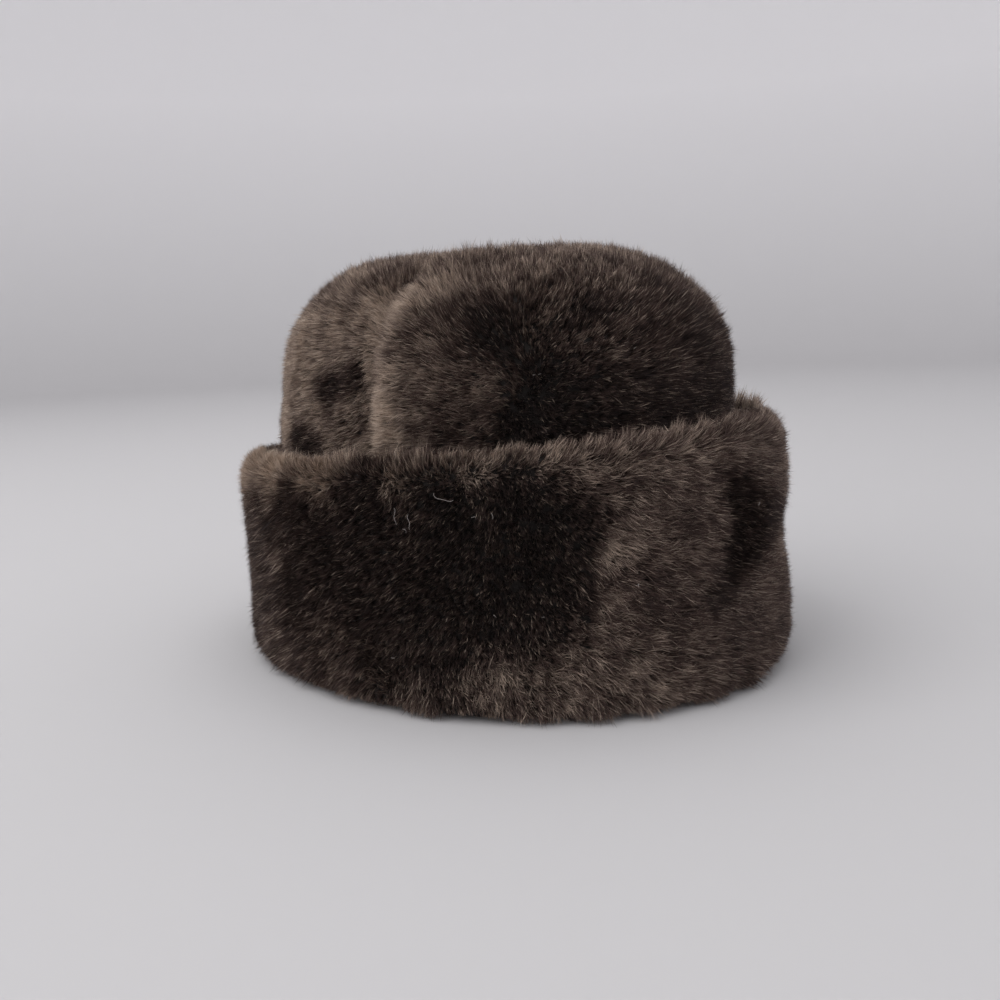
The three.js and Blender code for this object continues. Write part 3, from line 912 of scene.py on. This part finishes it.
@dataclass
class CuffPelt(Pelt):
    """The turned-up cuff."""

    wool_inside_above: float = 71 * MM
    faces_in: float = -0.8
    faces_down: float = -0.97

    def is_wool(self, face: bmesh.types.BMFace) -> bool:
        """The face, the foot and the roll carry pile, and so does the top of the side next to the crown."""
        middle = face.calc_center_median()
        outward = Vector((middle.x / OVAL.half_width**2, middle.y / OVAL.half_length**2, 0)).normalized()
        faces_out = face.normal.dot(outward) > self.faces_in
        return face.normal.z > self.faces_down and (faces_out or middle.z > self.wool_inside_above)


@dataclass(frozen=True)
class PileHabit:
    """How sheared sheepskin grows: its density, and how its tufts and blades differ.

    A range is the least and the most of a quality. A spread is a standard deviation, in radians for a turn
    or a lean and as a share of the full range for a shade.
    """

    per_mm2: float = 6.7
    tuft_size: int = 10
    tuft_spread: float = 0.6 * MM
    tuft_pull: float = 0.4
    flattest: float = 2.0
    sideways: float = 0.44
    widths: tuple[float, float] = (0.28 * MM, 0.46 * MM)
    sunk: float = 0.4 * MM
    steadiness: float = 1.25
    broad_turn: Unevenness = Unevenness(0.3, 22 * MM)
    fine_turn: Unevenness = Unevenness(0.28, 7 * MM)
    tousled_turn: Unevenness = Unevenness(0.5, 6 * MM, 9)
    tuft_turn: float = 0.2
    stray_share: float = 0.09
    stray_turn: float = 1.2
    stray_extra_mm: tuple[float, float] = (0.4, 1.8)
    lean_wander: Unevenness = Unevenness(0.12, 5 * MM)
    tuft_lean: float = 0.12
    seam_reach: float = 3.5 * MM
    seam_raise: float = 0.4
    broad_shade: Unevenness = Unevenness(0.07, 26 * MM)
    fine_shade: Unevenness = Unevenness(0.1, 8 * MM, 9)
    calm_tuft_shade: float = 0.06
    tousled_tuft_shade: float = 0.12
    most_tousle_shown: float = 0.6
    height_wander: Unevenness = Unevenness(0.07, 9 * MM)
    tousled_height: Unevenness = Unevenness(0.28, 4.5 * MM, 9)
    tuft_height: float = 0.1
    blade_lean: float = 0.12
    blade_leans: tuple[float, float] = (0.03, 1.3)
    blade_fan: float = 0.26
    tousled_fan: float = 1.5
    blade_lengths: tuple[float, float] = (0.78, 1.16)
    long_share: float = 0.07
    long_extra_mm: tuple[float, float] = (0.2, 1.3)
    tousled_extra_mm: float = 0.8
    blade_twist: float = 0.35
    # Painted glints: a share of blades is coloured lighter, as if catching the light, and the more so where
    # the pile is dark.
    glint_share: float = 0.14
    glint_lift: tuple[float, float] = (0.15, 0.7)
    glint_top: float = 1.35
    glint_fall: float = 1.25
    blade_shade: float = 0.1
    shades: tuple[float, float] = (0.01, 0.99)


@dataclass
class Tufts:
    """Tufts of pile with one value or one row each. Repeated, they are the blades of those tufts."""

    place: np.ndarray
    normal: np.ndarray
    way: np.ndarray
    lean: np.ndarray
    height: np.ndarray
    shade: np.ndarray
    tousle: np.ndarray
    longer: np.ndarray

    def repeated(self, times: int) -> "Tufts":
        """Gives every tuft so many times over."""
        return Tufts(**{name: np.repeat(values, times, axis=0) for name, values in vars(self).items()})


@dataclass
class Pile:
    """The pile on one stretch of pelt: fine blades in small tufts, joined into one mesh."""

    name: str
    slot: str
    surface: PeltSurface
    nap: NapChart
    finish: bpy.types.Material
    first_bearing: float
    last_bearing: float
    density: float = 1.0
    crosses_seam: bool = False
    habit: PileHabit = PileHabit()
    most: int = 199_000
    floor_gap: float = 0.3 * MM
    palette_step: float = 0.004
    shade_margin: float = 0.01
    root_and_tip: tuple[float, float] = (0.02, 0.98)

    def build(self, rng: np.random.Generator) -> bpy.types.Object:
        """Grows the pile.

        Args:
            rng: The random source.

        Returns:
            The piece.
        """
        blades = self.tufts(*self.tuft_places(rng), rng).repeated(self.habit.tuft_size)
        corners, shade = self.blades(blades, rng)
        made = bpy.data.objects.new(self.name, self.mesh(corners, shade))
        collect(made)
        return made

    def tuft_places(self, rng: np.random.Generator) -> tuple[np.ndarray, np.ndarray, np.ndarray]:
        """Scatters tufts and keeps those of this stretch, as places, normals and pile room."""
        area_mm2 = self.surface.areas.sum() / MM**2
        count = int(area_mm2 * self.habit.per_mm2 * self.density / self.habit.tuft_size)
        places, normals, room = self.surface.scatter(count, rng)
        bearing = np.degrees(np.arctan2(-places[:, 0], -places[:, 1])) % 360
        kept = (bearing - self.first_bearing) % 360 < (self.last_bearing - self.first_bearing)
        found = np.flatnonzero(kept)[: self.most // self.habit.tuft_size]
        return places[found], normals[found], room[found]

    def tufts(
        self, places: np.ndarray, normals: np.ndarray, room: np.ndarray, rng: np.random.Generator
    ) -> Tufts:
        """Lays every tuft as the chart says, with some unevenness.

        Args:
            places: Middles of the tufts.
            normals: Their normals.
            room: The depth of the pile at each.
            rng: The random source.

        Returns:
            The tufts.
        """
        nap, habit, count = self.nap.read(places), self.habit, len(places)
        tousle = nap["tousle"]
        turn = habit.broad_turn.at(places, rng) + habit.fine_turn.at(places, rng)
        turn = turn + rng.normal(0, habit.tuft_turn, count) + tousle * habit.tousled_turn.at(places, rng)
        stray = (rng.random(count) < habit.stray_share) * tousle
        turn = turn + stray * rng.normal(0, habit.stray_turn, count)
        along = nap["way"] - (nap["way"] * normals).sum(1, keepdims=True) * normals
        strength = np.clip(np.linalg.norm(along, axis=1) * habit.steadiness, 0, 1)
        along = unit(along)
        way = along * np.cos(turn)[:, None] + np.cross(normals, along) * np.sin(turn)[:, None]
        lean = np.radians(nap["lean"]) * strength * (1 + habit.lean_wander.at(places, rng))
        lean = lean + rng.normal(0, habit.tuft_lean, count)
        if self.crosses_seam:
            near = np.exp(-(((places[:, 1] - SEAM_Y) / habit.seam_reach) ** 2))
            lean = lean * (1 - habit.seam_raise * near)
        shade = nap["shade"] + habit.broad_shade.at(places, rng) + habit.fine_shade.at(places, rng)
        shown = habit.calm_tuft_shade + habit.tousled_tuft_shade * np.minimum(tousle, habit.most_tousle_shown)
        shade = shade + rng.normal(0, 1, count) * shown
        height = room * (1 + habit.height_wander.at(places, rng) + rng.normal(0, habit.tuft_height, count))
        height = height * (1 + tousle * habit.tousled_height.at(places, rng))
        height = height + stray * rng.uniform(*habit.stray_extra_mm, count) * MM
        return Tufts(places, normals, way, lean, height, shade, tousle, nap["longer_mm"] * MM)

    def blades(self, blades: Tufts, rng: np.random.Generator) -> tuple[np.ndarray, np.ndarray]:
        """Shapes every blade.

        Args:
            blades: The blades, still all alike within a tuft.
            rng: The random source.

        Returns:
            Three corners a blade, and a shade a blade.
        """
        habit, count, tousle = self.habit, len(blades.place), blades.tousle
        side = np.cross(blades.normal, blades.way)
        offsets = rng.normal(0, habit.tuft_spread, (count, 2))
        offset = blades.way * offsets[:, :1] + side * offsets[:, 1:]
        lean = blades.lean + rng.normal(0, habit.blade_lean, count) * (1 + tousle)
        lean = np.clip(lean, *habit.blade_leans)
        fan = rng.normal(0, habit.blade_fan, count) * (1 + habit.tousled_fan * tousle)
        blown = blades.way * np.cos(fan)[:, None] + side * np.sin(fan)[:, None]
        height = (blades.height + blades.longer) * rng.uniform(*habit.blade_lengths, count)
        long_one = rng.random(count) < habit.long_share
        height = height + long_one * rng.uniform(*habit.long_extra_mm, count) * MM
        height = height + tousle * rng.uniform(0, habit.tousled_extra_mm, count) * MM
        reach = habit.sideways * height * np.minimum(np.tan(lean), habit.flattest)
        root = blades.place + offset - blades.normal * habit.sunk
        tip = blades.place + offset * (1 - habit.tuft_pull)
        tip = tip + blades.normal * height[:, None] + blown * reach[:, None]
        facing = unit(blades.normal + rng.normal(0, habit.blade_twist, (count, 3)))
        across = unit(np.cross(tip - root, facing))
        width = rng.uniform(*habit.widths, count)[:, None] / 2
        corners = np.stack([root + across * width, tip, root - across * width], 1)
        corners[:, :, 2] = np.maximum(corners[:, :, 2], self.floor_gap)
        # painted glints: some blades coloured lighter as if their tips caught the light
        glint_blade = rng.random(count) < habit.glint_share
        glint_room = habit.glint_top - habit.glint_fall * blades.shade
        painted_glint = glint_blade * rng.uniform(*habit.glint_lift, count) * glint_room
        shade = blades.shade + rng.normal(0, habit.blade_shade, count) + painted_glint
        return corners, np.clip(shade, *habit.shades)

    def mesh(self, corners: np.ndarray, shade: np.ndarray) -> bpy.types.Mesh:
        """Joins the blades into one mesh with its palette map.

        Args:
            corners: Three corners a blade: right of the root, tip and left of the root.
            shade: The blade's place across the palette.

        Returns:
            The mesh.
        """
        count = len(corners)
        made = bpy.data.meshes.new(self.name)
        made.vertices.add(count * 3)
        made.vertices.foreach_set("co", corners.astype(np.float32).ravel())
        made.loops.add(count * 3)
        made.loops.foreach_set("vertex_index", np.arange(count * 3, dtype=np.int32))
        made.polygons.add(count)
        made.polygons.foreach_set("loop_start", np.arange(0, count * 3, 3, dtype=np.int32))
        palette = made.uv_layers.new(name=PALETTE_MAP)
        middle = self.shade_margin + (1 - 2 * self.shade_margin) * shade[:, None]
        across = middle + np.array([self.palette_step, 0, -self.palette_step])
        root, tip = self.root_and_tip
        along = np.broadcast_to(np.array([root, tip, root]), across.shape)
        palette.data.foreach_set("uv", np.stack([across, along], 2).astype(np.float32).ravel())
        made.materials.append(self.finish)
        made.update(calc_edges=True)
        made.shade_smooth()
        made.validate()
        return made


@dataclass(frozen=True)
class LooseFibre:
    """A pale loose fibre that clings to the pile. Its heading is a comb angle, which curl and wave turn."""

    bearing: float
    height_mm: float
    heading: float
    length_mm: float
    curl: float = 0.0
    wave: float = 0.0


LOOSE_FIBRES = (
    LooseFibre(55, 78.5, 178, 8.0, -150, -35),
    LooseFibre(62.2, 73, 150, 6.0, 60, 35),
    LooseFibre(59.8, 71, 215, 5.5, -80, -45),
    LooseFibre(61, 66, 100, 2.4, 80, -30),
    LooseFibre(49, 70.5, 60, 1.6, 40),
    LooseFibre(45.5, 70, 20, 2.4, -70),
    LooseFibre(21, 46, 80, 1.2),
    LooseFibre(20.5, 46.3, 170, 1.0),
    LooseFibre(38, 37, 60, 1.2, 40),
    LooseFibre(46, 38, 110, 1.4, 60),
    LooseFibre(-11, 66, 20, 1.4, 40),
    LooseFibre(64, 21, 80, 1.5, 30),
    LooseFibre(39, 115, 90, 1.0),
    LooseFibre(37.8, 115, 70, 0.9),
    LooseFibre(15, 122, 60, 1.1),
)


@dataclass
class LooseFibres:
    """The loose fibres as one piece of fine tubes that lie on the pile of one solid."""

    name: str
    slot: str
    under: bpy.types.Object
    fibres: tuple[LooseFibre, ...]
    finish: bpy.types.Material
    radius: float = 0.055 * MM
    lift: float = 0.3 * MM
    cast_from: float = 60 * MM
    steps: int = 12
    sides: int = 4

    def build(self) -> bpy.types.Object:
        """Makes the piece.

        Returns:
            The piece, with one closed tube for each fibre.
        """
        solid = self.under.data
        body = BVHTree.FromPolygons(
            [vert.co for vert in solid.vertices], [face.vertices for face in solid.polygons]
        )
        points, faces = [], []
        for fibre in self.fibres:
            self.tube(self.path(fibre, body), points, faces)
        mesh = bpy.data.meshes.new(self.name)
        mesh.from_pydata(points, [], faces)
        mesh.materials.append(self.finish)
        mesh.shade_smooth()
        made = bpy.data.objects.new(self.name, mesh)
        collect(made)
        return made

    def path(self, fibre: LooseFibre, body: BVHTree) -> list[Vector]:
        """Follows a fibre over the solid.

        Args:
            fibre: The fibre.
            body: The solid's surface.

        Returns:
            Points along the fibre's middle.
        """
        outward = OVAL.outward(fibre.bearing)
        start = OVAL.point(fibre.bearing, self.cast_from, fibre.height_mm * MM)
        here, normal, _, _ = body.ray_cast(start, -outward)
        stride = fibre.length_mm * MM / self.steps
        path = []
        for step in range(self.steps + 1):
            path.append(here + normal * self.lift * (1 + math.sin(math.pi * step / self.steps)))
            share = step / self.steps
            swing = fibre.curl * share + fibre.wave * math.sin(2 * math.pi * share)
            turn = math.radians(fibre.heading + swing)
            way = Vector((0, 0, 1)) * math.cos(turn) + OVAL.leftward(fibre.bearing) * math.sin(turn)
            here, normal, _, _ = body.find_nearest(here + way * stride)
        return path

    def tube(self, path: list[Vector], points: list[Vector], faces: list[tuple[int, ...]]) -> None:
        """Adds a closed tube along a path.

        Args:
            path: Points along the middle.
            points: The piece's points so far, added to.
            faces: The piece's faces so far, added to.
        """
        first = len(points)
        for step, middle in enumerate(path):
            ahead = (path[min(step + 1, len(path) - 1)] - path[max(step - 1, 0)]).normalized()
            across = ahead.orthogonal().normalized()
            above = ahead.cross(across)
            for side in range(self.sides):
                turn = 2 * math.pi * side / self.sides
                points.append(middle + (across * math.cos(turn) + above * math.sin(turn)) * self.radius)
        rings = len(path)
        for ring in range(rings - 1):
            for side in range(self.sides):
                low, high = first + ring * self.sides, first + (ring + 1) * self.sides
                after = (side + 1) % self.sides
                faces.append((low + side, low + after, high + after, high + side))
        faces.append(tuple(first + side for side in reversed(range(self.sides))))
        faces.append(tuple(first + (rings - 1) * self.sides + side for side in range(self.sides)))


def plain_material(name: str, colour: Colour, roughness: float) -> bpy.types.Material:
    """Makes a material of one colour."""
    made = bpy.data.materials.new(name)
    made.use_nodes = True
    shader = made.node_tree.nodes["Principled BSDF"]
    shader.inputs["Base Color"].default_value = (*colour, 1)
    shader.inputs["Roughness"].default_value = roughness
    return made


@dataclass(frozen=True)
class Lamp:
    """A soft square light that faces the hat."""

    name: str
    place: tuple[float, float, float]
    size: float
    watts: float
    aim: tuple[float, float, float] = (0, 0, 80 * MM)

    def hang(self) -> None:
        """Hangs the light."""
        data = bpy.data.lights.new(self.name, "AREA")
        data.shape = "SQUARE"
        data.size = self.size
        data.energy = self.watts
        made = bpy.data.objects.new(self.name, data)
        made.location = self.place
        made.rotation_euler = (Vector(self.aim) - Vector(self.place)).to_track_quat("-Z", "Y").to_euler()
        made.visible_camera = False
        bpy.context.scene.collection.objects.link(made)


LAMPS = (
    Lamp("key_light", (-1.25, 0.1, 1.25), 1.6, 14.0),
    Lamp("top_light", (0.1, 0.35, 1.7), 1.8, 7.0),
    Lamp("fill_light", (-0.35, -1.6, 0.9), 1.4, 1.2),
)


@dataclass
class Studio:
    """Pale floor that sweeps up all round, soft lights and the camera."""

    floor_radius: float = 2.2
    sweep: float = 0.8
    sweep_steps: int = 8
    wall_top: float = 2.6
    spin_steps: int = 72
    merge_gap: float = 0.01 * MM
    floor_colour: Colour = (0.56, 0.545, 0.55)
    # the wall is painted paler, standing in for light that the lamps don't give it
    painted_light_wall_colour: Colour = (0.95, 0.93, 0.94)
    floor_roughness: float = 0.9
    floor_gloss: float = 0.2
    air_colour: Colour = (0.95, 0.97, 1.0)
    air_strength: float = 0.75
    ground_distance: float = 455 * MM
    eye_height: float = 133.4 * MM
    eye_azimuth: float = -37.0
    eye_pitch: float = 9.52
    eye_roll: float = -2.22
    eye_shift: float = -2.3 * MM
    lens: float = 38.63
    sensor_width: float = 36.0
    nearest: float = 10 * MM

    def build(self) -> None:
        """Sets up the floor, the lights, the surroundings and the camera."""
        self.floor()
        for lamp in LAMPS:
            lamp.hang()
        self.air()
        bpy.context.scene.view_settings.view_transform = "Standard"
        self.camera()

    def air(self) -> None:
        """Fills the room with soft light from all sides."""
        world = bpy.data.worlds.new("studio_air")
        world.use_nodes = True
        air = world.node_tree.nodes["Background"]
        air.inputs["Color"].default_value = (*self.air_colour, 1)
        air.inputs["Strength"].default_value = self.air_strength
        bpy.context.scene.world = world

    def floor(self) -> None:
        """Makes the floor as a wide dish by spinning its section."""
        shape = bmesh.new()
        verts = [shape.verts.new(point) for point in self.section()]
        edges = [shape.edges.new(pair) for pair in zip(verts, verts[1:])]
        bmesh.ops.spin(
            shape,
            geom=verts + edges,
            axis=(0, 0, 1),
            cent=(0, 0, 0),
            angle=2 * math.pi,
            steps=self.spin_steps,
            use_merge=True,
        )
        bmesh.ops.remove_doubles(shape, verts=shape.verts, dist=self.merge_gap)
        bmesh.ops.recalc_face_normals(shape, faces=shape.faces)
        if sum(face.normal.z for face in shape.faces) < 0:
            bmesh.ops.reverse_faces(shape, faces=shape.faces)
        mesh = bpy.data.meshes.new("studio_floor")
        shape.to_mesh(mesh)
        shape.free()
        mesh.shade_smooth()
        mesh.materials.append(self.floor_finish())
        made = bpy.data.objects.new("studio_floor", mesh)
        bpy.context.scene.collection.objects.link(made)

    def section(self) -> list[Vector]:
        """Gives the floor's section: flat, then a quarter round up to the wall."""
        points = [Vector((0, 0, 0)), Vector((self.floor_radius, 0, 0))]
        for step in range(1, self.sweep_steps + 1):
            turn = math.radians(90 * step / self.sweep_steps)
            out = self.floor_radius + self.sweep * math.sin(turn)
            points.append(Vector((out, 0, self.sweep * (1 - math.cos(turn)))))
        points.append(Vector((self.floor_radius + self.sweep, 0, self.wall_top)))
        return points

    def floor_finish(self) -> bpy.types.Material:
        """Makes the floor's matt finish, which grows paler up the sweep: painted light on the wall, which the
        lamps light less.
        """
        finish = bpy.data.materials.new("studio_floor")
        finish.use_nodes = True
        nodes, links = finish.node_tree.nodes, finish.node_tree.links
        shader = nodes["Principled BSDF"]
        shader.inputs["Roughness"].default_value = self.floor_roughness
        shader.inputs["Specular IOR Level"].default_value = self.floor_gloss
        place = nodes.new("ShaderNodeTexCoord")
        apart = nodes.new("ShaderNodeSeparateXYZ")
        rise = nodes.new("ShaderNodeMapRange")
        rise.inputs["From Max"].default_value = self.sweep
        # paler up the sweep: painted light on the wall
        tone = nodes.new("ShaderNodeMix")
        tone.data_type = "RGBA"
        tone.inputs["A"].default_value = (*self.floor_colour, 1)
        tone.inputs["B"].default_value = (*self.painted_light_wall_colour, 1)
        links.new(place.outputs["Object"], apart.inputs["Vector"])
        links.new(apart.outputs["Z"], rise.inputs["Value"])
        links.new(rise.outputs["Result"], tone.inputs["Factor"])
        links.new(tone.outputs["Result"], shader.inputs["Base Color"])
        return finish

    def camera(self) -> None:
        """Stands the camera at the photograph's angle."""
        yaw, pitch, roll = (math.radians(x) for x in (self.eye_azimuth, self.eye_pitch, self.eye_roll))
        right = Vector((math.cos(yaw), math.sin(yaw), 0))
        ahead = Vector((-math.sin(yaw) * math.cos(pitch), math.cos(yaw) * math.cos(pitch), -math.sin(pitch)))
        above = right.cross(ahead)
        tilted_right = right * math.cos(roll) + above * math.sin(roll)
        tilted_above = above * math.cos(roll) - right * math.sin(roll)
        data = bpy.data.cameras.new("camera")
        data.lens = self.lens
        data.sensor_width = self.sensor_width
        data.sensor_fit = "HORIZONTAL"
        data.clip_start = self.nearest
        made = bpy.data.objects.new("camera", data)
        place = Vector((math.sin(yaw), -math.cos(yaw), 0)) * self.ground_distance
        place = place + Vector((0, 0, self.eye_height)) + right * self.eye_shift
        turned = Matrix((tilted_right, tilted_above, -ahead)).transposed()
        made.matrix_world = Matrix.Translation(place) @ turned.to_4x4()
        bpy.context.scene.collection.objects.link(made)
        bpy.context.scene.camera = made


@dataclass(frozen=True)
class Stretch:
    """A stretch of pile that makes one piece, from one bearing to another."""

    name: str
    node: str
    first_bearing: float
    last_bearing: float


STRETCHES = (
    Stretch("crown_pile_front", "crown_front", 0, 360),
    Stretch("crown_pile_right", "crown_back", 0, 180),
    Stretch("crown_pile_left", "crown_back", 180, 360),
    Stretch("cuff_pile_front", "cuff", -42, 42),
    Stretch("cuff_pile_right", "cuff", 42, 150),
    Stretch("cuff_pile_back", "cuff", 150, 230),
    Stretch("cuff_pile_left", "cuff", 230, 318),
)

UNDERWOOL = PeltFinish("underwool", (0.008, 0.006, 0.005), (0.035, 0.026, 0.022), 900, 0.5 * MM)
SUEDE = PeltFinish("suede", (0.045, 0.028, 0.019), (0.10, 0.066, 0.045), 350, 0.15 * MM)


@dataclass
class FurHat:
    """The whole hat: three pelts, the pile on them and a few loose fibres."""

    crown_depth: float = 4.2 * MM
    crown_fade: tuple[float, float] = (58 * MM, 74 * MM)
    crown_front_from: float = 68 * MM
    crown_back_from: float = 66 * MM
    cuff_depth: float = 4.5 * MM
    cuff_fade: tuple[float, float] = (-2 * MM, -1 * MM)
    crown_fibres_from_mm: float = 100.0
    fibre_colour: Colour = (0.5, 0.45, 0.43)
    fibre_roughness: float = 0.6
    rng: np.random.Generator = field(default_factory=lambda: np.random.default_rng(SEED))

    def build(self) -> None:
        """Builds the pelts, grows their pile and lays the loose fibres on it."""
        self.piles(self.pelts())
        self.loose_fibres()

    def pelts(self) -> dict[str, PeltSurface]:
        """Makes the pelts.

        Returns:
            The woolly surface of each pelt, by the CAD node that it replaces.
        """
        grain = WoolGrain()
        coats = (UNDERWOOL.material(grain), SUEDE.material(grain))
        crown = ("crown_fur", self.crown_depth, *self.crown_fade, *coats)
        cuff = ("cuff_fur", self.cuff_depth, *self.cuff_fade, *coats)
        surfaces = {}
        for pelt, lowest in (
            (CrownPelt("crown_front_pelt", "crown_front", *crown), self.crown_front_from),
            (CrownPelt("crown_back_pelt", "crown_back", *crown), self.crown_back_from),
            (CuffPelt("cuff_pelt", "cuff", *cuff), 0.0),
        ):
            surfaces[pelt.node] = PeltSurface.of(pelt.build().data, lowest)
        return surfaces

    def piles(self, surfaces: dict[str, PeltSurface]) -> None:
        """Grows the pile, stretch by stretch.

        Args:
            surfaces: The woolly surface of each pelt, by its CAD node.
        """
        fibre = FibreColour()
        crown = ("crown_fur", CROWN_NAP, PileFinish("crown_pile").material(fibre))
        cuff = ("cuff_fur", CUFF_NAP, PileFinish("cuff_pile").material(fibre))
        density = 1.0
        for stretch in STRETCHES:
            on_cuff = stretch.node == "cuff"
            slot, nap, finish = cuff if on_cuff else crown
            between = (stretch.first_bearing, stretch.last_bearing)
            surface = surfaces[stretch.node]
            Pile(stretch.name, slot, surface, nap, finish, *between, density, not on_cuff).build(self.rng)

    def loose_fibres(self) -> None:
        """Lays the loose fibres on the cuff and on the front panel."""
        pale = plain_material("loose_fibre", self.fibre_colour, self.fibre_roughness)
        nodes = frame["nodes"]
        high = tuple(fibre for fibre in LOOSE_FIBRES if fibre.height_mm >= self.crown_fibres_from_mm)
        low = tuple(fibre for fibre in LOOSE_FIBRES if fibre.height_mm < self.crown_fibres_from_mm)
        LooseFibres("cuff_loose_fibres", "cuff_fur", nodes["cuff"], low, pale).build()
        LooseFibres("crown_loose_fibres", "crown_fur", nodes["crown_front"], high, pale).build()


def main() -> None:
    """Builds the studio and the hat."""
    logging.basicConfig(level=logging.INFO, format="%(name)s: %(message)s")
    Studio().build()
    FurHat().build()


if __name__ == "__main__":
    main()
